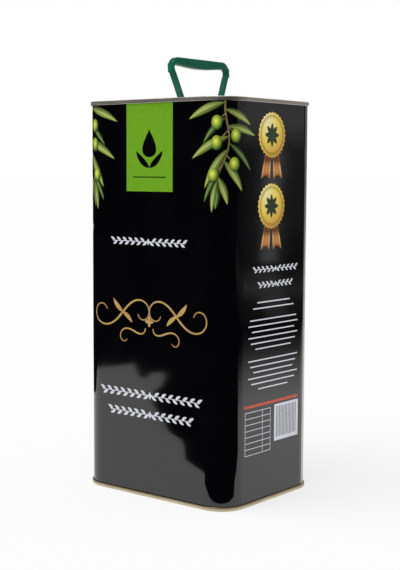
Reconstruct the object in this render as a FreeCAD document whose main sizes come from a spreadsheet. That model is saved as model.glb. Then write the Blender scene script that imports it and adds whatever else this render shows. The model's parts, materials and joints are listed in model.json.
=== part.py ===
import FreeCAD, Part
import Sketcher
import math
import os

# Five litre oil tin: a welded tinplate body double seamed to two stamped ends,
# a carrying handle on two lugs, and a pull-up spout sunk in the top.
# Millimetres, +Z up, origin on the floor under the middle of the tin.

V = FreeCAD.Vector
doc = FreeCAD.newDocument("oil_tin")
sheet = doc.addObject("Spreadsheet::Sheet", "Sizes")

SIZES = [
    # body and seams
    ("tin_height", 315.0, "floor to the top of the top seam"),
    ("body_width", 150.4, "wide faces, outside of the body sheet, along X"),
    ("body_depth", 118.0, "narrow faces, outside of the body sheet, along Y"),
    ("corner_radius", 20.5, "upright corners, outside of the body sheet"),
    ("plate", 0.3, "tinplate thickness"),
    ("seam_height", 3.2, "height of the double seam"),
    ("seam_gap", 0.1, "gap between the layers of the seam"),
    ("fold_radius", 0.5, "outside radius of a folded edge in the seam"),
    ("compound_height", 0.2, "sealing compound over the body flange"),
    ("weld_width", 0.9, "lap weld of the body sheet"),
    ("weld_proud", 0.12, "lap weld over the body sheet"),
    ("weld_offset", 30.0, "lap weld from the middle of the narrow face"),
    # ends
    ("panel_depth", 5.0, "top panel below the seam's top"),
    ("sink_depth", 6.8, "underside of the countersink groove below the seam's end"),
    ("sink_width", 2.2, "clear width of the countersink groove"),
    ("sink_radius", 0.8, "bend from the panel into the countersink groove"),
    ("panel_lap", 2.0, "flat strip of panel beside the groove"),
    ("floor_depth", 4.6, "bottom panel above the floor"),
    ("step_height", 1.2, "stiffening step of the bottom panel"),
    ("step_run", 2.5, "width of the step's slope"),
    ("step_land", 5.0, "flat land outside the step"),
    # spout well and neck in the top end
    ("spout_inset", 33.2, "spout axis from the body's -X face"),
    ("well_radius", 26.0, "round well at the panel"),
    ("well_depth", 6.7, "well floor below the panel"),
    ("well_draft", 1.6, "run of the well's sloping wall"),
    ("well_bend", 1.0, "bends of the well"),
    ("neck_radius", 18.9, "inside of the drawn neck"),
    ("neck_drop", 5.5, "top of the neck's curl below the seam's top"),
    ("curl_width", 2.2, "curled edge of the neck"),
    # handle and lugs
    ("handle_offset", 1.8, "handle pivot from the tin's axis, towards +X"),
    ("grip_rise", 36.3, "top of the grip over the pivot"),
    ("grip_width", 5.6, "grip, along X"),
    ("grip_end_height", 5.2, "grip bar at its ends"),
    ("belly_drop", 3.1, "point of the belly's tangents under the bar's ends"),
    ("belly_radius", 160.0, "curve of the grip's belly"),
    ("grip_corner", 8.0, "outer corners of the grip"),
    ("grip_inner_corner", 3.0, "inner corners of the grip"),
    ("grip_edge", 0.8, "rounded long edges of the grip"),
    ("shoulder_rise", 23.2, "lower end of the grip's shoulders over the pivot"),
    ("stop_rise", 24.2, "lower end of a stop block over the pivot"),
    ("stop_height", 7.2, "stop block on a shoulder"),
    ("stop_reach", 36.4, "outer face of a stop block from the middle"),
    ("leg_foot", 24.3, "outer face of a leg from the middle, at the pivot"),
    ("leg_thick", 2.7, "leg, along Y"),
    ("leg_width", 5.0, "leg, along X"),
    ("peg_radius", 2.1, "pivot peg"),
    ("peg_reach", 10.3, "peg beyond the leg"),
    ("peg_lift", 0.6, "peg over the panel"),
    ("peg_clearance", 0.1, "peg in its lug, each side"),
    ("leg_clearance", 3.0, "lug from the leg's outer face at the pivot"),
    ("lug_plate", 0.8, "lug strip thickness"),
    ("lug_width", 8.0, "lug strip, along Y"),
    ("lug_foot", 5.6, "welded foot beyond the bridge"),
    ("lug_bend", 0.5, "bends of the lug"),
    ("lug_corner", 2.0, "corners of the welded feet"),
    # spout flange, gasket and crimp ring
    ("seat_gap", 0.05, "gap between seated pieces"),
    ("gasket_height", 0.6, "neck gasket"),
    ("gasket_inset", 0.3, "gasket inside the curl's width, each side"),
    ("land_height", 1.2, "top land of the flange"),
    ("plug_wall", 1.5, "plug skirt inside the neck"),
    ("plug_depth", 4.5, "plug skirt below the neck's top"),
    ("skirt_gap", 0.15, "skirt from the curl"),
    ("skirt_wall", 1.3, "skirt outside the curl"),
    ("skirt_drop", 3.7, "skirt below the neck's top"),
    ("snap_reach", 0.75, "snap ridge under the curl"),
    ("snap_height", 0.7, "snap ridge"),
    ("crimp_plate", 0.35, "crimp ring thickness"),
    ("crimp_lip", 2.0, "crimp ring lip over the land"),
    ("crimp_hem", 1.1, "crimp ring hem under the skirt"),
    ("soft_edge", 0.5, "broken edges of the plastic pieces and of the crimp ring"),
    # nozzle, web, tamper band
    ("bore_radius", 10.0, "pouring bore"),
    ("nozzle_wall", 1.5, "nozzle wall"),
    ("nozzle_length", 19.9, "foot to lip"),
    ("lip_drop", 6.1, "lip below the seam's top when pushed in"),
    ("lip_reach", 0.6, "rolled lip beyond the nozzle's wall"),
    ("lip_height", 1.2, "rolled lip"),
    ("foot_reach", 1.35, "foot ring beyond the nozzle's wall"),
    ("foot_height", 1.8, "foot ring"),
    ("bead_reach", 1.4, "retaining bead beyond the nozzle's wall"),
    ("bead_height", 1.0, "retaining bead"),
    ("web_wall", 0.8, "web thickness, along the radius"),
    ("web_cuff", 1.4, "upright cuff at each end of the web"),
    ("band_height", 3.2, "tamper band"),
    ("band_gap", 0.35, "tamper band from the cap"),
    ("band_hook", 1.35, "inner hook of the tamper band"),
    ("band_hook_height", 1.3, "inner hook of the tamper band"),
    # cap, liner, bails
    ("thread_gap", 1.0, "room for the thread between nozzle and cap"),
    ("cap_wall", 2.0, "cap skirt"),
    ("cap_depth", 9.2, "inside of the cap"),
    ("cap_top_wall", 1.6, "cap top"),
    ("boss_radius", 10.0, "raised middle of the cap"),
    ("boss_rise", 2.5, "raised middle over the ledge"),
    ("boss_edge", 0.8, "rounded edge of the raised middle"),
    ("liner_height", 0.95, "sealing liner"),
    ("liner_gap", 0.2, "liner inside the cap"),
    ("flute_radius", 0.55, "grip flutes of the cap"),
    ("flute_rise", 6.6, "length of the flutes"),
    ("bail_height", 1.9, "pull bail"),
    ("bail_gap", 0.15, "bail over the ledge"),
    ("bail_room", 0.4, "bail round the raised middle"),
    ("bail_inset", 0.2, "bail inside the cap's edge"),
    ("bail_axis", 1.3, "bail pivot from the cap's axis"),
    ("post_width", 0.5, "hinge post between the bails' ends"),
    ("overrun", 1.0, "cuts run past what they cut by this"),
]

SHARES = [
    ("leg_flare_share", 0.443, "outward slope of a leg, run over rise"),
    ("bridge_round_share", 0.9, "roundness of a lug's bridge"),
    ("curl_round_share", 0.3, "roundness of the neck's curl, of its width"),
    ("knuckle_share", 0.5, "radius of a bail's knuckle, of its height"),
]

HANDLE_LEAN_DEG = 4.3
FLUTES = 24


class Length:
    """A length in millimetres that keeps the sheet formula it comes from."""

    def __init__(self, value, formula):
        self.value = value
        self.formula = formula

    def __add__(self, other):
        return Length(self.value + other.value, f"({self.formula} + {other.formula})")

    def __sub__(self, other):
        return Length(self.value - other.value, f"({self.formula} - {other.formula})")

    def __neg__(self):
        return Length(-self.value, f"(-{self.formula})")

    def __mul__(self, share):
        if isinstance(share, Length):
            return Length(self.value * share.value, f"({self.formula} * {share.formula})")
        return Length(self.value * share, f"({self.formula} * {share})")

    def __truediv__(self, count):
        return Length(self.value / count, f"({self.formula} / {count})")


def fill_sheet():
    """Write every size to the sheet and return the sizes by name."""
    sizes = {}
    for row, (name, value, note) in enumerate(SIZES + SHARES, start=1):
        sheet.set(f"A{row}", name)
        sheet.set(f"B{row}", str(value))
        sheet.set(f"C{row}", note)
        sheet.setAlias(f"B{row}", name)
        sizes[name] = Length(value, f"Sizes.{name}")
    doc.recompute()
    return sizes


size = fill_sheet()
ZERO = Length(0.0, "0")

tin_top = size["tin_height"]
half_width = size["body_width"] / 2
half_depth = size["body_depth"] / 2
plate = size["plate"]
gap = size["seam_gap"]


def new_body(name, x=ZERO, y=ZERO, z=ZERO):
    """A sub-part at its place in the tin."""
    body = doc.addObject("PartDesign::Body", name)
    body.Label = name
    body.Placement = FreeCAD.Placement(V(x.value, y.value, z.value), FreeCAD.Rotation())
    for axis, place in (("x", x), ("y", y), ("z", z)):
        if place is not ZERO:
            body.setExpression(f"Placement.Base.{axis}", place.formula)
    return body


def origin_feature(body, role):
    """One of the body's own planes or axes."""
    return next(f for f in body.Origin.OriginFeatures if f.Role == role)


def new_sketch(body, role, name, lift=None):
    """An empty sketch on one of the body's own planes, lifted off it if asked."""
    sketch = body.newObject("Sketcher::SketchObject", name)
    sketch.AttachmentSupport = (origin_feature(body, role), [""])
    sketch.MapMode = "FlatFace"
    if lift is not None:
        sketch.AttachmentOffset = FreeCAD.Placement(V(0, 0, lift.value), FreeCAD.Rotation())
        sketch.setExpression("AttachmentOffset.Base.z", lift.formula)
    return sketch


def pin_point(sketch, geo, end, x, y):
    """Tie a point of the sketch to its two named coordinates."""
    for kind, axis_line, place in (("DistanceX", -2, x), ("DistanceY", -1, y)):
        if place is ZERO:
            sketch.addConstraint(Sketcher.Constraint("PointOnObject", geo, end, axis_line))
            continue
        index = sketch.addConstraint(Sketcher.Constraint(kind, -1, 1, geo, end, place.value))
        sketch.setExpression(f"Constraints[{index}]", place.formula)


def corner_arc(before, at, after, radius):
    """Start, end, centre and turning sense of the arc that rounds one corner."""
    to_before = (before - at).normalize()
    to_after = (after - at).normalize()
    half_angle = to_before.getAngle(to_after) / 2
    reach = radius / math.tan(half_angle)
    middle = (to_before + to_after).normalize() * (radius / math.sin(half_angle))
    left_turn = (at - before).cross(after - at).z > 0
    return at + to_before * reach, at + to_after * reach, at + middle, left_turn


def draw_outline(sketch, corners):
    """Closed outline through corners (x, y) or (x, y, radius), fully constrained."""
    points = [V(c[0].value, c[1].value, 0) for c in corners]
    count = len(corners)
    arcs = {}
    for i, corner in enumerate(corners):
        if len(corner) == 3:
            arcs[i] = corner_arc(points[i - 1], points[i], points[(i + 1) % count], corner[2].value)
    lines = []
    for i in range(count):
        j = (i + 1) % count
        start = arcs[i][1] if i in arcs else points[i]
        end = arcs[j][0] if j in arcs else points[j]
        lines.append(sketch.addGeometry(Part.LineSegment(start, end), False))
    for i, corner in enumerate(corners):
        before, after = lines[i - 1], lines[i]
        if i not in arcs:
            sketch.addConstraint(Sketcher.Constraint("Coincident", before, 2, after, 1))
            pin_point(sketch, after, 1, corner[0], corner[1])
            continue
        start, end, centre, left_turn = arcs[i]
        first, last = (start, end) if left_turn else (end, start)
        angles = [math.atan2(p.y - centre.y, p.x - centre.x) for p in (first, last)]
        circle = Part.Circle(centre, V(0, 0, 1), corner[2].value)
        arc = sketch.addGeometry(Part.ArcOfCircle(circle, angles[0], angles[1]), False)
        start_end, far_end = (1, 2) if left_turn else (2, 1)
        sketch.addConstraint(Sketcher.Constraint("Tangent", before, 2, arc, start_end))
        sketch.addConstraint(Sketcher.Constraint("Tangent", after, 1, arc, far_end))
        index = sketch.addConstraint(Sketcher.Constraint("Radius", arc, corner[2].value))
        sketch.setExpression(f"Constraints[{index}]", corner[2].formula)
        tip = sketch.addGeometry(Part.Point(points[i]), True)
        sketch.addConstraint(Sketcher.Constraint("PointOnObject", tip, 1, before))
        sketch.addConstraint(Sketcher.Constraint("PointOnObject", tip, 1, after))
        pin_point(sketch, tip, 1, corner[0], corner[1])


def draw_circle(sketch, radius, x=ZERO, y=ZERO):
    """A circle with its centre pinned."""
    circle = Part.Circle(V(x.value, y.value, 0), V(0, 0, 1), radius.value)
    geo = sketch.addGeometry(circle, False)
    pin_point(sketch, geo, 3, x, y)
    index = sketch.addConstraint(Sketcher.Constraint("Radius", geo, radius.value))
    sketch.setExpression(f"Constraints[{index}]", radius.formula)


def draw_axis(sketch, start, end):
    """A construction line to turn an outline about."""
    ends = [V(p[0].value, p[1].value, 0) for p in (start, end)]
    geo = sketch.addGeometry(Part.LineSegment(*ends), True)
    pin_point(sketch, geo, 1, *start)
    pin_point(sketch, geo, 2, *end)


def pad(body, sketch, length, symmetric=False, reverse=False):
    """Extrude a sketch by a named length."""
    feature = body.newObject("PartDesign::Pad", sketch.Name + "_pad")
    feature.Profile = sketch
    feature.SideType = "Symmetric" if symmetric else "One side"
    feature.Reversed = reverse
    feature.setExpression("Length", length.formula)
    return feature


def pocket(body, sketch, length, reverse=False):
    """Cut a sketch out of the body by a named length."""
    feature = body.newObject("PartDesign::Pocket", sketch.Name + "_pocket")
    feature.Profile = sketch
    feature.Reversed = reverse
    feature.setExpression("Length", length.formula)
    return feature


def revolve(body, sketch, axis="V_Axis", angle=360):
    """Turn a sketch about one of its own axes."""
    feature = body.newObject("PartDesign::Revolution", sketch.Name + "_turned")
    feature.Profile = sketch
    feature.ReferenceAxis = (sketch, [axis])
    feature.Angle = angle
    return feature


def turned_body(name, outline, x=ZERO, z=ZERO):
    """A round piece turned from one outline of (radius, height) corners."""
    body = new_body(name, x=x, z=z)
    profile = new_sketch(body, "XZ_Plane", name + "_profile")
    draw_outline(profile, outline)
    revolve(body, profile)
    return body


def round_edges(body, radius, chosen):
    """Fillet the edges of the body's tip that the test picks out."""
    doc.recompute()
    tip = body.Tip
    names = [f"Edge{i}" for i, edge in enumerate(tip.Shape.Edges, start=1) if chosen(edge)]
    feature = body.newObject("PartDesign::Fillet", body.Name + "_fillet")
    feature.Base = (tip, names)
    feature.setExpression("Radius", radius.formula)
    return feature


def plan_outline(inset):
    """Rounded rectangle of the body's plan, moved in by inset, from the middle of the +X face."""
    x = half_width - inset
    y = half_depth - inset
    radius = size["corner_radius"] - inset
    return [(x, ZERO), (x, y, radius), (-x, y, radius), (-x, -y, radius), (x, -y, radius)]


def mirror_whole(body, role):
    """Double the body across one of its own planes."""
    feature = body.newObject("PartDesign::Mirrored", f"{body.Name}_across_{role}")
    feature.TransformMode = "Whole shape"
    feature.MirrorPlane = (origin_feature(body, role), [""])
    body.Tip = feature


def run_round_body(body, name, section):
    """Carry a sheet section, drawn at the middle of the +X face, round the body's plan.

    A quarter is made as a straight run, a turned corner and a straight run, then mirrored twice.
    """
    corner_x = half_width - size["corner_radius"]
    corner_y = half_depth - size["corner_radius"]
    narrow = new_sketch(body, "XZ_Plane", name + "_narrow_side")
    draw_outline(narrow, section)
    pad(body, narrow, corner_y, reverse=True)
    corner = new_sketch(body, "XZ_Plane", name + "_corner", lift=-corner_y)
    draw_outline(corner, section)
    draw_axis(corner, (corner_x, ZERO), (corner_x, tin_top))
    revolve(body, corner, axis="Axis0", angle=90)
    wide = new_sketch(body, "YZ_Plane", name + "_wide_side", lift=corner_x)
    draw_outline(wide, [(c[0] - half_width + half_depth, *c[1:]) for c in section])
    pad(body, wide, corner_x, reverse=True)
    mirror_whole(body, "YZ_Plane")
    mirror_whole(body, "XZ_Plane")


# The double seam holds five layers. From inside to outside: the end's chuck wall,
# the body wall, the end's hook, the body's hook and the end's seaming wall.
wall_out = half_width
wall_in = half_width - plate
chuck_out = wall_in - gap
chuck_in = chuck_out - plate
end_hook_in = wall_out + gap
end_hook_out = end_hook_in + plate
body_hook_in = end_hook_out + gap
body_hook_out = body_hook_in + plate
seaming_in = body_hook_out + gap
seaming_out = seaming_in + plate
flange_drop = plate + gap + size["compound_height"]
groove_wall = chuck_in - size["sink_width"]


def seam_levels(top, up):
    """Heights of the seam's layers at one end, counted from the seam's outer edge into the tin."""
    def level(drop):
        return top - drop if up else top + drop
    return level


def body_hook_corners(level):
    """The body sheet's flange, turned out and back: outer bend first, ending on the wall."""
    hook_end = level(size["seam_height"] - plate - gap)
    return [
        (wall_in, level(flange_drop)),
        (body_hook_out, level(flange_drop)),
        (body_hook_out, hook_end),
        (body_hook_in, hook_end),
        (body_hook_in, level(flange_drop + plate)),
        (wall_out, level(flange_drop + plate)),
    ]


def make_body_shell():
    """Body sheet: one strip rolled to the plan, lap welded, and flanged at both ends."""
    body = new_body("body_shell")
    top = body_hook_corners(seam_levels(size["tin_height"], True))
    bottom = body_hook_corners(seam_levels(ZERO, False))
    run_round_body(body, "body", top + bottom[::-1])
    weld = new_sketch(body, "XY_Plane", "weld", lift=size["seam_height"])
    left = -(wall_in + plate / 2)
    right = -(wall_out + size["weld_proud"])
    low = size["weld_offset"] - size["weld_width"] / 2
    high = size["weld_offset"] + size["weld_width"] / 2
    draw_outline(weld, [(left, low), (left, high), (right, high), (right, low)])
    pad(body, weld, size["tin_height"] - size["seam_height"] * 2)
    return body


def end_section(level, panel_drop, sink_drop, inner_path):
    """Section of an end: panel edge, countersink groove, chuck wall, seam and hook."""
    fold = size["fold_radius"]
    bend = size["sink_radius"]
    hook_end = level(flange_drop + plate + gap)
    upper = [(x, level(panel_drop + drop)) for x, drop in inner_path]
    lower = [(x, level(panel_drop + drop + plate)) for x, drop in inner_path[::-1]]
    seam = [
        (groove_wall, level(panel_drop), bend),
        (groove_wall, level(sink_drop - plate)),
        (chuck_in, level(sink_drop - plate)),
        (chuck_in, level(ZERO), fold),
        (seaming_out, level(ZERO), fold),
        (seaming_out, level(size["seam_height"]), fold),
        (end_hook_in, level(size["seam_height"])),
        (end_hook_in, hook_end),
        (end_hook_out, hook_end),
        (end_hook_out, level(size["seam_height"] - plate)),
        (seaming_in, level(size["seam_height"] - plate)),
        (seaming_in, level(plate)),
        (chuck_out, level(plate)),
        (chuck_out, level(sink_drop)),
        (groove_wall - plate, level(sink_drop)),
        (groove_wall - plate, level(panel_drop + plate)),
    ]
    return upper + seam + lower


def panel_sheet(body, name, inset, low):
    """Flat middle of an end, one plate thick."""
    sketch = new_sketch(body, "XY_Plane", name, lift=low)
    draw_outline(sketch, plan_outline(inset))
    pad(body, sketch, plate)


panel_edge = half_width - groove_wall + plate
panel_top = tin_top - size["panel_depth"]
spout_x = size["spout_inset"] - half_width
well_floor = -(size["panel_depth"] + size["well_depth"])
neck_top = -size["neck_drop"]
curl_out = size["neck_radius"] + size["curl_width"]


def make_top_end():
    """Top end: seam, countersunk panel, and a round well with the drawn and curled neck."""
    body = new_body("top_end")
    level = seam_levels(tin_top, True)
    lap = [(groove_wall - size["panel_lap"], ZERO)]
    run_round_body(body, "top", end_section(level, size["panel_depth"], size["sink_depth"], lap))
    panel_sheet(body, "top_panel", panel_edge + size["panel_lap"] / 2, panel_top - plate)
    hole = new_sketch(body, "XY_Plane", "well_hole", lift=panel_top + size["overrun"])
    draw_circle(hole, size["well_radius"] + size["well_bend"], x=spout_x)
    pocket(body, hole, size["overrun"] * 2 + plate)
    well = new_sketch(body, "XZ_Plane", "well_section")
    well.AttachmentOffset = FreeCAD.Placement(V(spout_x.value, tin_top.value, 0), FreeCAD.Rotation())
    well.setExpression("AttachmentOffset.Base.x", spout_x.formula)
    well.setExpression("AttachmentOffset.Base.y", tin_top.formula)
    rim = size["well_radius"] + size["well_bend"] * 2
    foot = size["well_radius"] - size["well_draft"]
    panel = -size["panel_depth"]
    bend = size["well_bend"]
    tight = bend - plate
    curl = size["curl_width"] * size["curl_round_share"]
    curl_low = neck_top - size["curl_width"]
    draw_outline(well, [
        (rim, panel),
        (size["well_radius"], panel, bend),
        (foot, well_floor, tight),
        (size["neck_radius"] + plate, well_floor),
        (size["neck_radius"] + plate, curl_low),
        (curl_out - curl, curl_low),
        (curl_out, curl_low + curl),
        (curl_out, neck_top - curl),
        (curl_out - curl, neck_top),
        (size["neck_radius"] + curl, neck_top),
        (size["neck_radius"], neck_top - curl),
        (size["neck_radius"], well_floor - plate),
        (foot + plate, well_floor - plate),
        (size["well_radius"] + plate, panel - plate),
        (rim, panel - plate),
    ])
    revolve(body, well)
    return body


def make_bottom_end():
    """Bottom end: seam, countersunk panel and a stiffening step towards the middle."""
    body = new_body("bottom_end")
    level = seam_levels(ZERO, False)
    outer = groove_wall - size["step_land"]
    inner = outer - size["step_run"]
    step = size["step_height"]
    steps = [(inner - size["panel_lap"], step), (inner, step), (outer, ZERO)]
    section = end_section(level, size["floor_depth"], size["sink_depth"], steps)
    run_round_body(body, "bottom", section)
    inset = half_width - inner + size["panel_lap"] / 2
    panel_sheet(body, "bottom_panel", inset, size["floor_depth"] + step)
    return body


def make_seam_compound(name, top, up):
    """Bead of sealing compound between the body's flange and the end."""
    body = new_body(name)
    level = seam_levels(top, up)
    high = level(plate + gap / 2)
    low = level(plate + gap / 2 + size["compound_height"])
    run_round_body(body, name, [(wall_out, low), (body_hook_in, low), (body_hook_in, high), (wall_out, high)])
    return body


pivot_lift = size["peg_radius"] + size["peg_lift"]
pivot_z = panel_top + pivot_lift
pivot_x = size["handle_offset"]
bridge_in = size["peg_radius"] + size["peg_clearance"]
bridge_out = bridge_in + size["lug_plate"]


def make_handle_lug(name, side):
    """Bridge lug: a strip bent over the handle's peg, its two feet spot welded to the panel."""
    middle = size["leg_foot"] + size["leg_clearance"] + size["lug_width"] / 2
    body = new_body(name, x=pivot_x, y=middle * side, z=panel_top)
    strip = new_sketch(body, "XZ_Plane", name + "_strip")
    foot = bridge_out + size["lug_foot"]
    crown_in = pivot_lift + bridge_in
    crown_out = crown_in + size["lug_plate"]
    round_in = bridge_in * size["bridge_round_share"]
    round_out = bridge_out * size["bridge_round_share"]
    base = size["lug_plate"]
    bend = size["lug_bend"]
    draw_outline(strip, [
        (-foot, ZERO), (-bridge_in, ZERO),
        (-bridge_in, crown_in, round_in), (bridge_in, crown_in, round_in),
        (bridge_in, ZERO), (foot, ZERO), (foot, base),
        (bridge_out, base, bend), (bridge_out, crown_out, round_out),
        (-bridge_out, crown_out, round_out), (-bridge_out, base, bend),
        (-foot, base),
    ])
    pad(body, strip, size["lug_width"], symmetric=True)

    def foot_corner(edge):
        ends = [v.Point for v in edge.Vertexes]
        upright = abs(ends[0].z - ends[-1].z) > size["lug_bend"].value
        return upright and all(abs(abs(p.x) - foot.value) < size["seat_gap"].value for p in ends)

    round_edges(body, size["lug_corner"], foot_corner)
    return body


def leg_face(rise, thickness):
    """Distance of a leg's face from the handle's middle at a rise over the pivot."""
    return size["leg_foot"] - thickness + rise * size["leg_flare_share"]


def make_carry_handle():
    """Carrying handle: a bellied grip with stop blocks, two flat legs and the pegs, one moulding."""
    body = new_body("carry_handle", x=pivot_x, z=pivot_z)
    lean = FreeCAD.Rotation(V(0, 1, 0), -HANDLE_LEAN_DEG)
    body.Placement = FreeCAD.Placement(body.Placement.Base, lean)
    thick = size["leg_thick"]
    top = size["grip_rise"]
    under = top - size["grip_end_height"]
    low = size["shoulder_rise"]
    belly = under - size["belly_drop"]
    outer = size["grip_corner"]
    inner = size["grip_inner_corner"]
    grip = new_sketch(body, "YZ_Plane", "grip")
    draw_outline(grip, [
        (leg_face(low, ZERO), low),
        (leg_face(top, ZERO), top, outer),
        (-leg_face(top, ZERO), top, outer),
        (-leg_face(low, ZERO), low),
        (-leg_face(low, thick), low),
        (-leg_face(under, thick), under, inner),
        (ZERO, belly, size["belly_radius"]),
        (leg_face(under, thick), under, inner),
        (leg_face(low, thick), low),
    ])
    pad(body, grip, size["grip_width"], symmetric=True)
    side = size["grip_width"].value / 2

    def long_edge(edge):
        ends = [v.Point for v in edge.Vertexes]
        on_side = all(abs(abs(p.x) - side) < size["seat_gap"].value for p in ends)
        return on_side and any(p.z > low.value + size["seat_gap"].value for p in ends)

    round_edges(body, size["grip_edge"], long_edge)
    blocks = new_sketch(body, "YZ_Plane", "stop_blocks")
    stop_low = size["stop_rise"]
    stop_top = stop_low + size["stop_height"]
    stop_out = size["stop_reach"]
    for hand in (1, -1):
        draw_outline(blocks, [
            ((stop_out - thick) * hand, stop_low),
            (stop_out * hand, stop_low),
            (stop_out * hand, stop_top),
            ((stop_out - thick / 2) * hand, stop_top),
        ][::hand])
    pad(body, blocks, size["leg_width"], symmetric=True)
    legs = new_sketch(body, "YZ_Plane", "legs")
    reach = low + size["overrun"]
    for hand in (1, -1):
        draw_outline(legs, [
            (leg_face(ZERO, thick) * hand, ZERO),
            (leg_face(ZERO, ZERO) * hand, ZERO),
            (leg_face(reach, ZERO) * hand, reach),
            (leg_face(reach, thick) * hand, reach),
        ][::hand])
    pad(body, legs, size["leg_width"], symmetric=True)
    pegs = new_sketch(body, "YZ_Plane", "pegs")
    eye = size["leg_width"] / 2
    peg_end = size["leg_foot"] + size["peg_reach"]
    for hand in (1, -1):
        draw_outline(pegs, [
            (leg_face(ZERO, thick) * hand, ZERO),
            (peg_end * hand, ZERO),
            (peg_end * hand, size["peg_radius"]),
            (size["leg_foot"] * hand, size["peg_radius"]),
            (size["leg_foot"] * hand, eye),
            (leg_face(ZERO, thick) * hand, eye),
        ][::hand])
    revolve(body, pegs, axis="H_Axis")
    return body


# Heights of the spout's pieces are counted from the top of the seam, pushed in.
seat = size["seat_gap"]
gasket_low = neck_top + seat
land_low = gasket_low + size["gasket_height"] + seat
land_top = land_low + size["land_height"]
plug_out = size["neck_radius"] - seat
plug_in = plug_out - size["plug_wall"]
plug_low = neck_top - size["plug_depth"]
skirt_in = curl_out + size["skirt_gap"]
skirt_out = skirt_in + size["skirt_wall"]
skirt_low = neck_top - size["skirt_drop"]
nozzle_out = size["bore_radius"] + size["nozzle_wall"]
lip_top = -size["lip_drop"]
nozzle_low = lip_top - size["nozzle_length"]
liner_low = lip_top + seat * 2
liner_top = liner_low + size["liner_height"]
ceiling = liner_top + seat
cap_in = nozzle_out + size["thread_gap"]
cap_out = cap_in + size["cap_wall"]
cap_low = ceiling - size["cap_depth"]
ledge = ceiling + size["cap_top_wall"]
boss_top = ledge + size["boss_rise"]
band_top = cap_low - size["band_gap"]
band_low = band_top - size["band_height"]
soft = size["soft_edge"]


def make_neck_gasket():
    """Flat rubber gasket on the neck's curl."""
    inner = size["neck_radius"] + size["gasket_inset"]
    outer = curl_out - size["gasket_inset"]
    top = gasket_low + size["gasket_height"]
    outline = [(inner, gasket_low), (outer, gasket_low), (outer, top), (inner, top)]
    return turned_body("neck_gasket", outline, x=spout_x, z=tin_top)


def make_spout_flange():
    """Flange of the spout: a plug in the neck and a skirt that snaps under the curl."""
    snap = skirt_in - size["snap_reach"]
    ridge = skirt_low + size["snap_height"]
    return turned_body("spout_flange", [
        (plug_in, plug_low),
        (plug_out - soft, plug_low),
        (plug_out, plug_low + soft),
        (plug_out, land_low),
        (skirt_in, land_low),
        (skirt_in, ridge + size["snap_reach"]),
        (snap, ridge),
        (snap, skirt_low),
        (skirt_out - soft, skirt_low),
        (skirt_out, skirt_low + soft),
        (skirt_out, land_top - soft),
        (skirt_out - soft, land_top),
        (plug_in + soft, land_top),
        (plug_in, land_top - soft),
    ], x=spout_x, z=tin_top)


def make_crimp_ring():
    """Steel ring crimped over the flange's land and under its skirt."""
    thin = size["crimp_plate"]
    inner = skirt_out + seat
    outer = inner + thin
    top_in = land_top + seat
    low_in = skirt_low - seat
    lip = outer - size["crimp_lip"]
    hem = outer - size["crimp_hem"]
    return turned_body("crimp_ring", [
        (hem, low_in - thin),
        (outer - soft, low_in - thin),
        (outer, low_in - thin + soft),
        (outer, top_in + thin - soft),
        (outer - soft, top_in + thin),
        (lip, top_in + thin),
        (lip, top_in),
        (inner - soft, top_in),
        (inner, top_in - soft),
        (inner, low_in + soft),
        (inner - soft, low_in),
        (hem, low_in),
    ], x=spout_x, z=tin_top)


def make_spout_web():
    """Flexible web, pushed in: a cone from the plug down to the nozzle's foot."""
    foot_out = nozzle_out + size["foot_reach"]
    low_in = foot_out + seat
    low_out = low_in + size["web_wall"]
    high_in = plug_in
    high_out = high_in + size["web_wall"]
    top = plug_low - seat
    cuff = size["web_cuff"]
    return turned_body("spout_web", [
        (low_in, nozzle_low),
        (low_out, nozzle_low),
        (low_out, nozzle_low + cuff),
        (high_out, top - cuff),
        (high_out, top),
        (high_in, top),
        (high_in, top - cuff),
        (low_in, nozzle_low + cuff),
    ], x=spout_x, z=tin_top)


def make_spout_nozzle():
    """Nozzle: pouring bore, rolled lip, bead that keeps the tamper band, and foot ring."""
    lip = nozzle_out + size["lip_reach"]
    bead = nozzle_out + size["bead_reach"]
    foot = nozzle_out + size["foot_reach"]
    bead_top = band_top
    bead_low = bead_top - size["bead_height"]
    return turned_body("spout_nozzle", [
        (size["bore_radius"], nozzle_low),
        (foot, nozzle_low),
        (foot, nozzle_low + size["foot_height"]),
        (nozzle_out, nozzle_low + size["foot_height"]),
        (nozzle_out, bead_low),
        (bead, bead_low),
        (bead, bead_top - soft),
        (bead - soft, bead_top),
        (nozzle_out, bead_top),
        (nozzle_out, lip_top - size["lip_height"]),
        (lip, lip_top - size["lip_height"]),
        (lip, lip_top - soft),
        (lip - soft, lip_top),
        (size["bore_radius"] + soft, lip_top),
        (size["bore_radius"], lip_top - soft),
    ], x=spout_x, z=tin_top)


def make_tamper_band():
    """Tamper band torn off the cap at first opening, hooked under the nozzle's bead."""
    hook = cap_in + soft - size["band_hook"]
    inner = nozzle_out + size["bead_reach"] + seat * 2
    hook_top = band_low + size["band_hook_height"]
    return turned_body("tamper_band", [
        (hook, band_low),
        (cap_out, band_low),
        (cap_out, band_top),
        (inner, band_top),
        (inner, hook_top),
        (hook, hook_top),
    ], x=spout_x, z=tin_top)


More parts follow.
